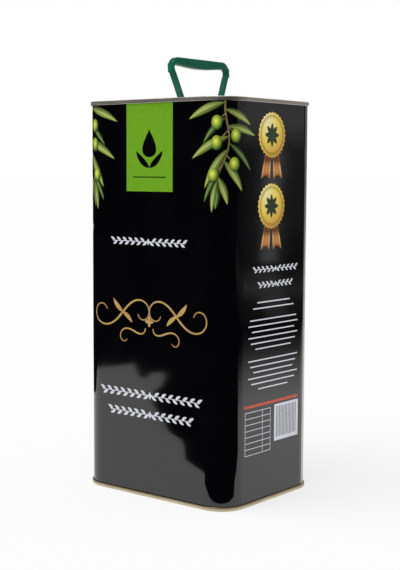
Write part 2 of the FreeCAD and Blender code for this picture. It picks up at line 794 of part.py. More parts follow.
def make_spout_cap():
    """Screw cap: fluted skirt, ledge for the bails, raised hollow middle, two hinge posts."""
    recess = size["boss_radius"] - size["cap_top_wall"]
    recess_top = boss_top - size["cap_top_wall"]
    body = turned_body("spout_cap", [
        (ZERO, recess_top),
        (recess, recess_top),
        (recess, ceiling),
        (cap_in, ceiling),
        (cap_in, cap_low),
        (cap_out, cap_low),
        (cap_out, ledge - soft),
        (cap_out - soft, ledge),
        (size["boss_radius"], ledge),
        (size["boss_radius"], boss_top, size["boss_edge"]),
        (ZERO, boss_top),
    ], x=spout_x, z=tin_top)
    posts = new_sketch(body, "XY_Plane", "hinge_posts", lift=ledge - soft)
    inner = size["boss_radius"] + size["bail_room"]
    outer = cap_out - soft
    side = size["post_width"] / 2
    draw_outline(posts, [(-side, inner), (side, inner), (side, outer), (-side, outer)])
    draw_outline(posts, [(-side, -outer), (side, -outer), (side, -inner), (-side, -inner)])
    pad(body, posts, soft + size["bail_gap"] + size["bail_height"] * size["knuckle_share"])
    flute = new_sketch(body, "XY_Plane", "flute", lift=cap_low)
    draw_circle(flute, size["flute_radius"], x=cap_out)
    doc.recompute()
    cut = pocket(body, flute, size["flute_rise"], reverse=True)
    doc.recompute()
    pattern = body.newObject("PartDesign::PolarPattern", "flutes")
    pattern.Originals = [cut]
    pattern.Axis = (origin_feature(body, "Z_Axis"), [""])
    pattern.Angle = 360
    pattern.Occurrences = FLUTES
    body.Tip = pattern
    return body


def make_cap_liner():
    """Foam liner that seals the cap on the nozzle's lip."""
    radius = cap_in - size["liner_gap"]
    outline = [(ZERO, liner_low), (radius, liner_low), (radius, liner_top), (ZERO, liner_top)]
    return turned_body("cap_liner", outline, x=spout_x, z=tin_top)


bail_in = size["boss_radius"] + size["bail_room"]
bail_out = cap_out - size["bail_inset"]
bail_low = ledge + size["bail_gap"]
knuckle = size["bail_height"] * size["knuckle_share"]


def make_pull_bail(name, side):
    """Pull bail: a half ring on the cap's ledge, with a round knuckle at each end."""
    body = new_body(name, x=spout_x, z=tin_top)
    ring = new_sketch(body, "XY_Plane", name + "_ring", lift=bail_low)
    draw_circle(ring, bail_out)
    draw_circle(ring, bail_in)
    pad(body, ring, size["bail_height"])
    trim = new_sketch(body, "XY_Plane", name + "_trim", lift=bail_low - size["overrun"])
    near = size["bail_axis"] * side
    far = -(bail_out + size["overrun"]) * side
    reach = bail_out + size["overrun"]
    draw_outline(trim, [(far, -reach), (near, -reach), (near, reach), (far, reach)][::side])
    doc.recompute()
    pocket(body, trim, size["bail_height"] + size["overrun"] * 2, reverse=True)
    ends = new_sketch(body, "YZ_Plane", name + "_knuckles", lift=near)
    axis_z = bail_low + knuckle
    for hand in (1, -1):
        draw_outline(ends, [
            (bail_in * hand, axis_z),
            ((bail_out - soft) * hand, axis_z),
            ((bail_out - soft) * hand, axis_z + knuckle),
            (bail_in * hand, axis_z + knuckle),
        ][::hand])
    draw_axis(ends, (bail_in, axis_z), (bail_out, axis_z))
    revolve(body, ends, axis="Axis0")
    return body


parts = [
    make_body_shell(),
    make_top_end(),
    make_bottom_end(),
    make_seam_compound("top_seam_compound", tin_top, True),
    make_seam_compound("bottom_seam_compound", ZERO, False),
    make_handle_lug("handle_lug_front", -1),
    make_handle_lug("handle_lug_back", 1),
    make_carry_handle(),
    make_neck_gasket(),
    make_spout_flange(),
    make_crimp_ring(),
    make_spout_web(),
    make_spout_nozzle(),
    make_tamper_band(),
    make_spout_cap(),
    make_cap_liner(),
    make_pull_bail("pull_bail_left", -1),
    make_pull_bail("pull_bail_right", 1),
]
doc.recompute()

for item in doc.Objects:
    if "Invalid" in item.State or "Error" in item.State:
        raise RuntimeError(f"{item.Name} failed: {item.State}")
for part in parts:
    if part.Shape.isNull() or not part.Shape.isValid():
        raise RuntimeError(f"{part.Label} has no valid shape")
    if len(part.Shape.Solids) != 1:
        raise RuntimeError(f"{part.Label} holds {len(part.Shape.Solids)} solids")

os.makedirs("parts", exist_ok=True)
for part in parts:
    part.Shape.exportStep(f"parts/{part.Label}.step")
    print(f"{part.Label}: {part.Shape.Volume:.1f} mm3")
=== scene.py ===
import bpy
import json
import math
from mathutils import Matrix, Vector

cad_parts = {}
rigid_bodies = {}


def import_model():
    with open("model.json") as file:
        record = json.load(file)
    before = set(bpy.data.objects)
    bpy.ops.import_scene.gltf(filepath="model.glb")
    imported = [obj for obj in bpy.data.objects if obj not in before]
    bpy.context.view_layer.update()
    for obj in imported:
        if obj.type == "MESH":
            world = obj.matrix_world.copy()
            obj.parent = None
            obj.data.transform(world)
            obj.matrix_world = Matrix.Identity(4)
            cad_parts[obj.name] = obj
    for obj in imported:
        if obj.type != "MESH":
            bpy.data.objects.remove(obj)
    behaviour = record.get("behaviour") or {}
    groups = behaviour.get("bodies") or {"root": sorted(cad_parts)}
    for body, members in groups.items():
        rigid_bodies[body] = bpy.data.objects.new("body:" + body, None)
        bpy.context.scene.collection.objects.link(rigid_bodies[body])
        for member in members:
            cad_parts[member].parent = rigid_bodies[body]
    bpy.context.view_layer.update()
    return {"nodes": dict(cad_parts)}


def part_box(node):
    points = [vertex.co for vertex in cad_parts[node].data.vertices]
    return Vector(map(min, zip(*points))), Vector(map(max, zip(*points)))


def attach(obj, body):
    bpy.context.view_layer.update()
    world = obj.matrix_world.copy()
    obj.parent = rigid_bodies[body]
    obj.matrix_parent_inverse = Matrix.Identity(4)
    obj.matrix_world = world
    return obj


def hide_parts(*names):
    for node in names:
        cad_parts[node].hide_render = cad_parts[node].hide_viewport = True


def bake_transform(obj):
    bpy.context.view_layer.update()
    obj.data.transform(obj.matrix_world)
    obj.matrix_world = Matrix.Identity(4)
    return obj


for leftover in list(bpy.data.objects):
    bpy.data.objects.remove(leftover)
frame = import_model()


# Body sheet: one strip of tinplate, printed flat in black gloss ink and varnished, rolled to a
# rectangle with large round corners, lap welded on one narrow face and flanged into both seams.
MM = 0.001
BLACK_INK = (4, 4, 6)
BLACK_INK_WORN = (9, 9, 12)
varnish_roughness = (0.03, 0.09)
varnish_shine = 0.77
wear_spots = 60
gloss_spots = 25
wave_spots = 9
wave_depth = 0.35 * MM
peel_spots = 1500
peel_depth = 0.001 * MM


def paint(colour):
    """A colour given as it shows on a screen, 0 to 255, for a shader's socket."""
    def linear(level):
        share = level / 255
        return share / 12.92 if share <= 0.04045 else ((share + 0.055) / 1.055) ** 2.4
    return (*[linear(level) for level in colour], 1.0)


def shader_of(finish):
    """The shader of a material."""
    return finish.node_tree.nodes["Principled BSDF"]


def new_finish(name, roughness, metallic=0.0, shine=0.5, colour=(128, 128, 128)):
    """A material with the values that are the same all over."""
    finish = bpy.data.materials.new(name)
    finish.use_nodes = True
    inputs = shader_of(finish).inputs
    inputs["Base Color"].default_value = paint(colour)
    inputs["Roughness"].default_value = roughness
    inputs["Metallic"].default_value = metallic
    inputs["Specular IOR Level"].default_value = shine
    return finish


def lead(finish, output, socket):
    """Lead a colour or a value to a socket of the material's shader."""
    finish.node_tree.links.new(output, shader_of(finish).inputs[socket])


def place_on_object(finish, stretch=(1, 1, 1)):
    """The object's own coordinates in metres, stretched."""
    nodes = finish.node_tree.nodes
    where = nodes.new("ShaderNodeTexCoord")
    mapping = nodes.new("ShaderNodeMapping")
    mapping.inputs["Scale"].default_value = stretch
    finish.node_tree.links.new(where.outputs["Object"], mapping.inputs["Vector"])
    return mapping.outputs["Vector"]


def mottle(finish, place, spots, detail=3.0):
    """Soft random spots, about so many to a metre."""
    noise = finish.node_tree.nodes.new("ShaderNodeTexNoise")
    noise.inputs["Scale"].default_value = spots
    noise.inputs["Detail"].default_value = detail
    finish.node_tree.links.new(place, noise.inputs["Vector"])
    return noise.outputs["Fac"]


def ramp(finish, value, stops):
    """Colours along a value: stops of (place, colour)."""
    node = finish.node_tree.nodes.new("ShaderNodeValToRGB")
    while len(node.color_ramp.elements) < len(stops):
        node.color_ramp.elements.new(0.5)
    for element, (place, colour) in zip(node.color_ramp.elements, stops):
        element.position = place
        element.color = paint(colour)
    finish.node_tree.links.new(value, node.inputs["Fac"])
    return node.outputs["Color"]


def spread(finish, value, low, high):
    """A value from 0 to 1 carried to a range."""
    node = finish.node_tree.nodes.new("ShaderNodeMapRange")
    node.inputs["To Min"].default_value = low
    node.inputs["To Max"].default_value = high
    finish.node_tree.links.new(value, node.inputs["Value"])
    return node.outputs["Result"]


def emboss(finish, height, depth, before=None):
    """Bump the surface by a height from 0 to 1, depth in metres, on top of the bump before, if any."""
    bump = finish.node_tree.nodes.new("ShaderNodeBump")
    bump.inputs["Distance"].default_value = depth
    finish.node_tree.links.new(height, bump.inputs["Height"])
    if before is not None:
        finish.node_tree.links.new(before, bump.inputs["Normal"])
    lead(finish, bump.outputs["Normal"], "Normal")
    return bump.outputs["Normal"]


def dress(node, finish):
    """Give a solid its finish in place of the plain one."""
    frame["nodes"][node].material_slots[0].material = finish


def black_print():
    """Black ink under varnish: deep gloss, a slow wave of the sheet and fine orange peel."""
    finish = new_finish("black_print", roughness=0.1, shine=varnish_shine)
    place = place_on_object(finish)
    rubbed = mottle(finish, place, wear_spots, detail=6)
    lead(finish, ramp(finish, rubbed, [(0.45, BLACK_INK), (0.85, BLACK_INK_WORN)]), "Base Color")
    lead(finish, spread(finish, mottle(finish, place, gloss_spots), *varnish_roughness), "Roughness")
    wave = emboss(finish, mottle(finish, place, wave_spots, detail=1), wave_depth)
    emboss(finish, mottle(finish, place, peel_spots, detail=1), peel_depth, wave)
    return finish


dress("body_shell", black_print())


# Print on the wide faces: a lime field that runs up under the top seam, with a black drop over
# two leaves, printed flat on the sheet before it is rolled. Front and back carry the same.
body_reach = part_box("body_shell")[1]
flange_reach = 0.8 * MM
half_width = body_reach.x - flange_reach
half_depth = body_reach.y - flange_reach
corner_radius = 20.5 * MM
seam_height = 3.2 * MM
print_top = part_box("top_end")[1].z - seam_height
quarter_turn = half_width + half_depth - corner_radius * (2 - math.pi / 2)
FRONT = 0.0
RIGHT = quarter_turn
BACK = quarter_turn * 2
LEFT = quarter_turn * 3
ink_lift = 0.03 * MM
LIME = (104, 158, 31)
LIME_PALE = (110, 164, 36)
field_width = 47.8 * MM
field_middle = -2.2 * MM
field_low = 243.4 * MM
drop_height = 281 * MM
drop_size = 11 * MM
drop_fullness = 0.95
drop_point = 1.6
motif_leaf_foot = 262 * MM
motif_leaf_length = 19 * MM
motif_leaf_width = 5 * MM
motif_leaf_lean = 1.05
motif_leaf_bend = 0.5
underline_half = 17 * MM
underline_low = 254.2 * MM
underline_high = 255.0 * MM


def sheet_point(along, height, lift):
    """A point of the rolled sheet, along it from the middle of the front face, to the right."""
    turn = math.floor(along / quarter_turn)
    rest = along - turn * quarter_turn
    out = Vector((math.sin(turn * math.pi / 2), -math.cos(turn * math.pi / 2), 0))
    right = Vector((-out.y, out.x, 0))
    reach, span = (half_width, half_depth) if turn % 2 else (half_depth, half_width)
    flat = span - corner_radius
    angle = (rest - flat) / corner_radius
    if angle <= 0:
        place = out * (reach + lift) + right * rest
    elif angle < math.pi / 2:
        bend = out * math.cos(angle) + right * math.sin(angle)
        place = out * (reach - corner_radius) + right * flat + bend * (corner_radius + lift)
    else:
        place = right * (span + lift) - out * (rest - quarter_turn)
    return place + Vector((0, 0, height))


def new_piece(name, points, faces, finish, smooth=True):
    """A mesh piece in one finish."""
    mesh = bpy.data.meshes.new(name)
    mesh.from_pydata(points, [], faces)
    mesh.materials.append(finish)
    if smooth:
        mesh.shade_smooth()
    piece = bpy.data.objects.new(name, mesh)
    bpy.context.scene.collection.objects.link(piece)
    return piece


def add_print(name, finish, patches, layer=0):
    """Ink on the sheet: patches are grids of (along, height) points with marks, each over the last."""
    points, faces, marks = [], [], []
    for number, (rows, row_marks) in enumerate(patches):
        lift = ink_lift * (1 + layer) + ink_lift * number / len(patches)
        first = len(points)
        columns = len(rows[0])
        for row, row_mark in zip(rows, row_marks):
            points += [sheet_point(along, height, lift) for along, height in row]
            marks += row_mark
        for i in range(len(rows) - 1):
            for j in range(columns - 1):
                corner = first + i * columns + j
                faces.append((corner, corner + 1, corner + columns + 1, corner + columns))
    piece = new_piece(name, points, faces, finish)
    layer_of_marks = piece.data.uv_layers.new(name="print")
    for loop in piece.data.loops:
        layer_of_marks.data[loop.index].uv = marks[loop.vertex_index]
    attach(piece, "tin")


def grid(at, across, down):
    """A patch from a rule at(u, v) with u and v from 0 to 1, and these as its marks."""
    shares = [[(j / across, i / down) for j in range(across + 1)] for i in range(down + 1)]
    return [[at(u, v) for u, v in row] for row in shares], shares


def bar(left, low, right, high, across=4):
    """An upright rectangle of ink."""
    return grid(lambda u, v: (left + (right - left) * u, low + (high - low) * v), across, 4)


def blob(middle, outline, around=40, rings=5):
    """A filled shape from its rule outline(angle) of (right, up) about its middle."""
    def at(u, v):
        right, up = outline(u * math.tau)
        return middle[0] + right * v, middle[1] + up * v

    def mark(u, v):
        return 0.5 + v / 2 * math.sin(u * math.tau), 0.5 + v / 2 * math.cos(u * math.tau)

    return grid(at, around, rings)[0], grid(mark, around, rings)[0]


def trail(start, heading_at, half_at, length, across, steps):
    """Rows across a line drawn from start: its heading and half width at a share of its length."""
    rows, marks = [], []
    along, height = start
    for i in range(steps + 1):
        share = i / steps
        way = heading_at(share)
        half = half_at(share)
        side = (-math.sin(way), math.cos(way))
        rows.append([(along + side[0] * half * a, height + side[1] * half * a) for a in across])
        marks.append([(0.5 - a / 2, share) for a in across])
        along += math.cos(way) * length / steps
        height += math.sin(way) * length / steps
    return rows, marks


def leaf(foot, heading, length, width, bend=0.0, steps=16):
    """A lance shaped leaf from its foot, heading in radians from the right, bending as it goes."""
    def half_at(share):
        return width / 2 * math.sin(math.pi * share ** 0.85) ** 0.8
    across = (1, 0.5, 0, -0.5, -1)
    return trail(foot, lambda share: heading + bend * share, half_at, length, across, steps)


def marks_of(finish):
    """The marks of a print: u across it, v along it."""
    node = finish.node_tree.nodes.new("ShaderNodeTexCoord")
    return node.outputs["UV"]


def mark_axis(finish, axis):
    """One of the two marks by itself."""
    node = finish.node_tree.nodes.new("ShaderNodeSeparateXYZ")
    finish.node_tree.links.new(marks_of(finish), node.inputs["Vector"])
    return node.outputs[axis]


def two_tone(finish, value, light, dark):
    """The material's colour, from dark to light along a soft random value."""
    lead(finish, ramp(finish, value, [(0.3, dark), (0.7, light)]), "Base Color")


def ink(name, light, dark, spots=700):
    """A flat ink under varnish, with the fine grain of the press."""
    finish = new_finish(name, roughness=0.14)
    two_tone(finish, mottle(finish, place_on_object(finish), spots, detail=2), light, dark)
    return finish


def drop_outline(size):
    """A drop with its point up."""
    def outline(angle):
        across = drop_fullness * math.sin(angle) * math.sin(angle / 2) ** drop_point
        return size * across, size * math.cos(angle)
    return outline


field_ink = ink("lime_ink", LIME_PALE, LIME, spots=300)
motif_ink = ink("black_ink", BLACK_INK_WORN, BLACK_INK)
fields, motifs = [], []
for face in (FRONT, BACK):
    middle = face + field_middle
    fields.append(bar(middle - field_width / 2, field_low, middle + field_width / 2, print_top))
    motifs.append(blob((middle, drop_height), drop_outline(drop_size)))
    for hand in (1, -1):
        foot = (middle, motif_leaf_foot)
        heading = math.pi / 2 - hand * motif_leaf_lean
        bend = hand * motif_leaf_bend
        motifs.append(leaf(foot, heading, motif_leaf_length, motif_leaf_width, bend))
    motifs.append(bar(middle - underline_half, underline_low, middle + underline_half, underline_high))
add_print("lime_field", field_ink, fields)
add_print("drop_motif", motif_ink, motifs, layer=1)


# Print at the upper corners of the wide faces: hanging sprays of narrow leaves and green fruit, in
# several inks. Those of the front wrap round its corners as the sheet is rolled.
corner_middle = half_width - corner_radius + corner_radius * math.pi / 4
STEM = (150, 128, 84)
STEM_DARK = (104, 86, 54)
LEAF_PLACES = (0.0, 0.3, 0.46, 0.5, 0.55, 0.8, 1.0)
LEAF_DEEP = (
    (32, 48, 30), (56, 80, 46), (84, 108, 64), (190, 200, 150), (124, 146, 88), (98, 122, 68),
    (62, 84, 46),
)
LEAF_OLIVE = (
    (72, 92, 48), (120, 140, 74), (148, 164, 96), (220, 222, 176), (186, 194, 122), (160, 172, 94),
    (108, 126, 62),
)
LEAF_FOOT_SHADE = (150, 160, 120)
LEAF_MIDDLE_SHADE = (235, 240, 220)
LEAF_TIP_SHADE = (255, 255, 200)
FRUIT_STOPS = (
    (0.0, (246, 246, 196)), (0.07, (214, 220, 96)), (0.26, (166, 184, 58)), (0.42, (112, 138, 46)),
    (0.52, (62, 90, 40)), (0.6, (34, 56, 30)),
)
fruit_light = (0.42, 0.6, 0)
stem_length = 63 * MM
stem_width = 1.5 * MM
stem_taper = 0.5
stem_steps = 40
stem_sway = 0.30
stem_lean = 0.10
stalk_width = 0.8 * MM
stalk_share = 0.55
stalk_lean = 0.75
leaf_curl = 0.3
fruit_half_width = 4.3 * MM
fruit_half_height = 5.6 * MM
# Leaves down the stem: share of it, side, drop of the heading in radians, length and width in mm.
spray_leaves = (
    (0.03, -1, 0.22, 34, 6.4), (0.10, 1, 0.30, 27, 5.6), (0.20, -1, 0.66, 27, 5.0),
    (0.30, 1, 0.10, 29, 5.8), (0.42, -1, 0.34, 36, 6.6), (0.50, 1, 0.62, 30, 5.2),
    (0.58, -1, 0.86, 35, 6.0), (0.72, 1, 0.84, 27, 6.2), (0.84, -1, 0.92, 27, 4.8),
    (0.93, 1, 1.10, 22, 5.4), (0.97, -1, 1.25, 24, 4.6), (1.00, 1, 1.50, 20, 5.2),
)
# Fruit down the stem: share of it, side, and reach of the fruit's middle from the stem in mm.
spray_fruit = ((0.14, -1, 9.5), (0.30, 1, 10.0), (0.36, -1, 13.0), (0.66, 1, 9.5), (0.78, -1, 10.5))
# Sprays: face, side of it, distance in from the corner's middle in mm, and scale.
spray_places = ((FRONT, 1, 1, 1), (FRONT, -1, 3, 1), (BACK, 1, 22, 0.7), (BACK, -1, 22, 0.7))


def stroke(start, heading_at, length, width, steps=40, taper=0.0):
    """A line of ink from start, with its heading at a share of its length, narrowing by taper."""
    def half_at(share):
        return width / 2 * (1 - taper * share)
    return trail(start, heading_at, half_at, length, (1, -1), steps)


def multiply(finish, first, second):
    """Two colours laid over each other."""
    node = finish.node_tree.nodes.new("ShaderNodeMix")
    node.data_type = "RGBA"
    node.blend_type = "MULTIPLY"
    node.inputs["Factor"].default_value = 1.0
    colours = [socket for socket in node.inputs if socket.type == "RGBA"]
    finish.node_tree.links.new(first, colours[0])
    finish.node_tree.links.new(second, colours[1])
    return [socket for socket in node.outputs if socket.type == "RGBA"][0]


def leaf_ink(name, across_colours):
    """Leaf print: a pale rib, one side lit and the other dark, paler towards the tip."""
    finish = new_finish(name, roughness=0.14)
    across = ramp(finish, mark_axis(finish, "X"), list(zip(LEAF_PLACES, across_colours)))
    shade = ramp(finish, mark_axis(finish, "Y"), [
        (0.0, LEAF_FOOT_SHADE), (0.5, LEAF_MIDDLE_SHADE), (1.0, LEAF_TIP_SHADE),
    ])
    lead(finish, multiply(finish, across, shade), "Base Color")
    return finish


def away_from(finish, place):
    """Distance of a print's marks from a place among them."""
    node = finish.node_tree.nodes.new("ShaderNodeVectorMath")
    node.operation = "DISTANCE"
    node.inputs[1].default_value = place
    finish.node_tree.links.new(marks_of(finish), node.inputs[0])
    return node.outputs["Value"]


def fruit_ink():
    """Fruit print: a yellow green light on the upper left, dark at the rim."""
    finish = new_finish("fruit_ink", roughness=0.14)
    lead(finish, ramp(finish, away_from(finish, fruit_light), FRUIT_STOPS), "Base Color")
    return finish


def straight(heading):
    """The rule of a line that keeps its heading."""
    return lambda share: heading


def oval(half_across, half_up):
    """An upright oval."""
    return lambda angle: (half_across * math.sin(angle), half_up * math.cos(angle))


def spray(middle, hand, scale):
    """One spray: a swaying stem with leaves left and right of it and fruit on short stalks."""
    def sway(share):
        return -math.pi / 2 + hand * (stem_sway * math.sin(math.tau * share) - stem_lean)

    top = (middle, print_top)
    stem = stroke(top, sway, stem_length * scale, stem_width * scale, stem_steps, stem_taper)

    def on_stem(share):
        one, two = stem[0][round(share * stem_steps)]
        return (one[0] + two[0]) / 2, (one[1] + two[1]) / 2

    unit = scale * MM
    stems, deep_leaves, olive_leaves, fruit = [stem], [], [], []
    for number, (share, side, drop, length, width) in enumerate(spray_leaves):
        heading = -math.pi / 2 + side * hand * (math.pi / 2 - drop)
        kind = deep_leaves if number % 3 == 2 else olive_leaves
        bend = -side * hand * leaf_curl
        kind.append(leaf(on_stem(share), heading, length * unit, width * unit, bend))
    for share, side, out in spray_fruit:
        foot = on_stem(share)
        heading = -math.pi / 2 + side * hand * stalk_lean
        reach = out * unit
        stalk = stroke(foot, straight(heading), reach * stalk_share, stalk_width * scale, steps=4)
        stems.append(stalk)
        centre = (foot[0] + math.cos(heading) * reach, foot[1] + math.sin(heading) * reach)
        outline = oval(fruit_half_width * scale, fruit_half_height * scale)
        fruit.append(blob(centre, outline, around=32))
    return stems, deep_leaves, olive_leaves, fruit


spray_kinds = ([], [], [], [])
for face, hand, inset, scale in spray_places:
    group = spray(face + hand * (corner_middle - inset * MM), hand, scale)
    for kind, made in zip(spray_kinds, group):
        kind += made
stems, deep_leaves, olive_leaves, fruit = spray_kinds
add_print("spray_stems", ink("stem_ink", STEM, STEM_DARK), stems)
add_print("spray_leaves_deep", leaf_ink("deep_leaf_ink", LEAF_DEEP), deep_leaves, layer=1)
add_print("spray_leaves_olive", leaf_ink("olive_leaf_ink", LEAF_OLIVE), olive_leaves, layer=2)
add_print("spray_fruit", fruit_ink(), fruit, layer=3)


# Print on the narrow faces: two gold seals with a pinked edge, each over the two tails of an
# orange ribbon, with two thin rings and a plain green star.
seal_radius = 18.0 * MM
seal_heights = (287.4 * MM, 232.7 * MM)
seal_offset = -3.5 * MM
seal_scallops = 28
scallop_depth = 0.07
seal_rings = ((0.83, 0.6 * MM), (0.76, 0.35 * MM))
star_share = 0.52
star_points = 8
star_inner_share = 0.55
ribbon_length = 20.8 * MM
ribbon_width = 13.6 * MM
ribbon_lean = 0.16
ribbon_start = 30 * MM
ribbon_top_share = 0.72
ribbon_end_share = 0.85
ribbon_taper = 0.3
notch_share = 0.16
gold_light_place = (0.3, 0.8, 0)
GOLD = (252, 222, 98)
GOLD_LIGHT = (255, 248, 184)
GOLD_DARK = (208, 160, 68)
RING_GOLD = (150, 106, 34)
RING_GOLD_DARK = (128, 88, 28)
RIBBON = (198, 124, 66)
RIBBON_MIDDLE = (214, 146, 84)
RIBBON_EDGE = (234, 190, 132)
RIBBON_END_SHADE = (172, 146, 132)
RIBBON_SEAL_SHADE = (142, 126, 120)
NO_SHADE = (255, 255, 255)
STAR_GREEN = (58, 74, 50)
STAR_GREEN_DARK = (40, 54, 38)


def gold_ink():
    """Gold ink, light on the upper left."""
    finish = new_finish("gold_ink", roughness=0.16)
    away = away_from(finish, gold_light_place)
    lead(finish, ramp(finish, away, [(0.0, GOLD_LIGHT), (0.4, GOLD), (0.85, GOLD_DARK)]), "Base Color")
    return finish


def ribbon_ink():
    """Ribbon print: orange between pale edges, dark at its end and where it leaves the seal."""
    finish = new_finish("ribbon_ink", roughness=0.16)
    across = ramp(finish, mark_axis(finish, "X"), [
        (0.0, RIBBON_EDGE), (0.09, RIBBON_EDGE), (0.2, RIBBON), (0.5, RIBBON_MIDDLE), (0.8, RIBBON),
        (0.91, RIBBON_EDGE), (1.0, RIBBON_EDGE),
    ])
    down = ramp(finish, mark_axis(finish, "Y"), [
        (0.0, RIBBON_END_SHADE), (0.28, NO_SHADE), (0.46, NO_SHADE), (0.68, RIBBON_SEAL_SHADE),
    ])
    lead(finish, multiply(finish, across, down), "Base Color")
    return finish


def pinked(radius, points, depth):
    """A round edge cut in small scallops."""
    def outline(angle):
        reach = radius * (1 - depth * abs(math.sin(points * angle / 2)))
        return reach * math.sin(angle), reach * math.cos(angle)
    return outline


def ring(middle, radius, width):
    """A thin circle."""
    def at(u, v):
        reach = radius + width * (v - 0.5)
        return middle[0] + reach * math.sin(u * math.tau), middle[1] + reach * math.cos(u * math.tau)
    return grid(at, across=64, down=1)


def star(radius, points, inner_share):
    """A plain star."""
    def outline(angle):
        turn = angle / math.tau * points
        reach = radius * (inner_share + (1 - inner_share) * abs(2 * (turn - math.floor(turn)) - 1))
        return reach * math.sin(angle), reach * math.cos(angle)
    return outline


def ribbon_tail(top, lean):
    """A tail that widens as it falls, with a notch cut in its end."""
    def at(u, v):
        notch = notch_share * ribbon_length * (1 - abs(2 * u - 1)) if v == 0 else 0
        fall = ribbon_length * (1 - v) - notch
        width = ribbon_width * (ribbon_end_share - ribbon_taper * v)
        return top[0] + lean * fall + width * (u - 0.5), top[1] - fall
    return grid(at, across=8, down=6)


seal_outline = pinked(seal_radius, seal_scallops, scallop_depth)
star_outline = star(seal_radius * star_share, star_points, star_inner_share)
seals, rings, stars, tails = [], [], [], []
for face in (RIGHT, LEFT):
    for height in seal_heights:
        middle = (face + seal_offset, height)
        for lean in (ribbon_lean, -ribbon_lean):
            top = (middle[0] + lean * ribbon_start, height - seal_radius * ribbon_top_share)
            tails.append(ribbon_tail(top, lean))
        seals.append(blob(middle, seal_outline, around=168))
        rings += [ring(middle, seal_radius * share, width) for share, width in seal_rings]
        stars.append(blob(middle, star_outline, around=64))
add_print("seal_ribbons", ribbon_ink(), tails)
add_print("seal_discs", gold_ink(), seals, layer=1)
add_print("seal_rings", ink("dark_gold_ink", RING_GOLD, RING_GOLD_DARK), rings, layer=2)
add_print("seal_stars", ink("seal_green_ink", STAR_GREEN, STAR_GREEN_DARK), stars, layer=2)


# Print lower on the wide faces: a gold scroll, and rows of small white laurel leaves above and
# below it, line work of one ink each.
SCROLL_GOLD = (200, 166, 106)
SCROLL_GOLD_DARK = (168, 132, 76)
LAUREL_WHITE = (214, 216, 225)
LAUREL_WHITE_DULL = (200, 202, 211)
scroll_height = 147 * MM
scroll_line = 1.8 * MM
thin_scroll_line = 0.8 * scroll_line
scroll_bend = (28 * MM, scroll_height)
scroll_low_bend = (15 * MM, scroll_height - 15 * MM)
scroll_star_drop = 6 * MM
scroll_star_radius = 4.5 * MM
laurel_stalk = 0.5 * MM
# Shares of a leaf pair's size, and headings in radians.
laurel_star = 0.4
laurel_foot = 0.45
laurel_stagger = 0.2
laurel_leaf_length = 0.85
laurel_leaf_width = 0.34
laurel_lean = 0.75
laurel_bend = 0.45
# Laurels: left and right end from the face's middle, height, and size of a leaf pair, in mm.
wide_laurels = ((-41, 34.5, 204, 6.2), (-52.5, 49.5, 82, 7.2), (-44, 41, 66.5, 7.2))


def curl(lean, turn):
    """Heading of a scroll: it leaves at a lean and winds up faster and faster."""
    return lambda share: lean + turn * share * share


def mirrored(middle, hand, patch):
    """A patch drawn to the right of its middle, kept or turned to the left."""
    rows, marks = patch
    if hand > 0:
        return [[(middle + along, height) for along, height in row] for row in rows], marks
    flipped = [[(middle - along, height) for along, height in row][::-1] for row in rows]
    return flipped, [row[::-1] for row in marks]


def laurel(left, right, height, size):
    """A row of leaf pairs that run out from its middle."""
    pairs = round((right - left) / 2 / size)
    step = (right - left) / 2 / pairs
    middle = (left + right) / 2
    made = [
        bar(left, height - laurel_stalk / 2, right, height + laurel_stalk / 2),
        blob((middle, height), star(size * laurel_star, points=4, inner_share=0.45), around=32),
    ]
    for hand in (1, -1):
        for number in range(pairs):
            for lift in (1, -1):
                foot = (step * (number + laurel_foot + laurel_stagger * lift), height)
                length = size * laurel_leaf_length
                width = size * laurel_leaf_width
                one = leaf(foot, lift * laurel_lean, length, width, -lift * laurel_bend, steps=8)
                made.append(mirrored(middle, hand, one))
    return made


scroll_lines = [
    stroke(scroll_bend, curl(-0.8, 5.4), 58 * MM, scroll_line, steps=60, taper=0.6),
    stroke(scroll_bend, curl(math.pi - 0.8, 5.4), 54 * MM, scroll_line, steps=60, taper=0.6),
    leaf(scroll_bend, 0.55, length=15 * MM, width=3.8 * MM, bend=0.5),
    leaf(scroll_bend, math.pi + 0.45, length=13 * MM, width=3.6 * MM, bend=0.5),
    stroke(scroll_low_bend, curl(0.35, -4.8), 30 * MM, thin_scroll_line, taper=0.6),
    stroke(scroll_low_bend, curl(math.pi + 0.35, -2.2), 14 * MM, thin_scroll_line, taper=0.3),
]
scroll_star = star(scroll_star_radius, points=4, inner_share=0.4)
scrolls, laurels = [], []
for face in (FRONT, BACK):
    middle = face + field_middle
    for hand in (1, -1):
        scrolls += [mirrored(middle, hand, line) for line in scroll_lines]
    scrolls.append(blob((middle, scroll_height - scroll_star_drop), scroll_star, around=32))
    for left, right, height, size in wide_laurels:
        laurels += laurel(face + left * MM, face + right * MM, height * MM, size * MM)
add_print("gold_scroll", ink("scroll_gold_ink", SCROLL_GOLD, SCROLL_GOLD_DARK), scrolls)
add_print("white_laurels", ink("white_ink", LAUREL_WHITE, LAUREL_WHITE_DULL), laurels)


# Print lower on the right face: white laurels, ruled lines, an orange line, an empty table and
# a white block with even bars.
SIDE_WHITE = (240, 242, 252)
SIDE_WHITE_DULL = (226, 228, 238)
ORANGE_LINE = (222, 84, 40)
ORANGE_LINE_DARK = (196, 66, 30)
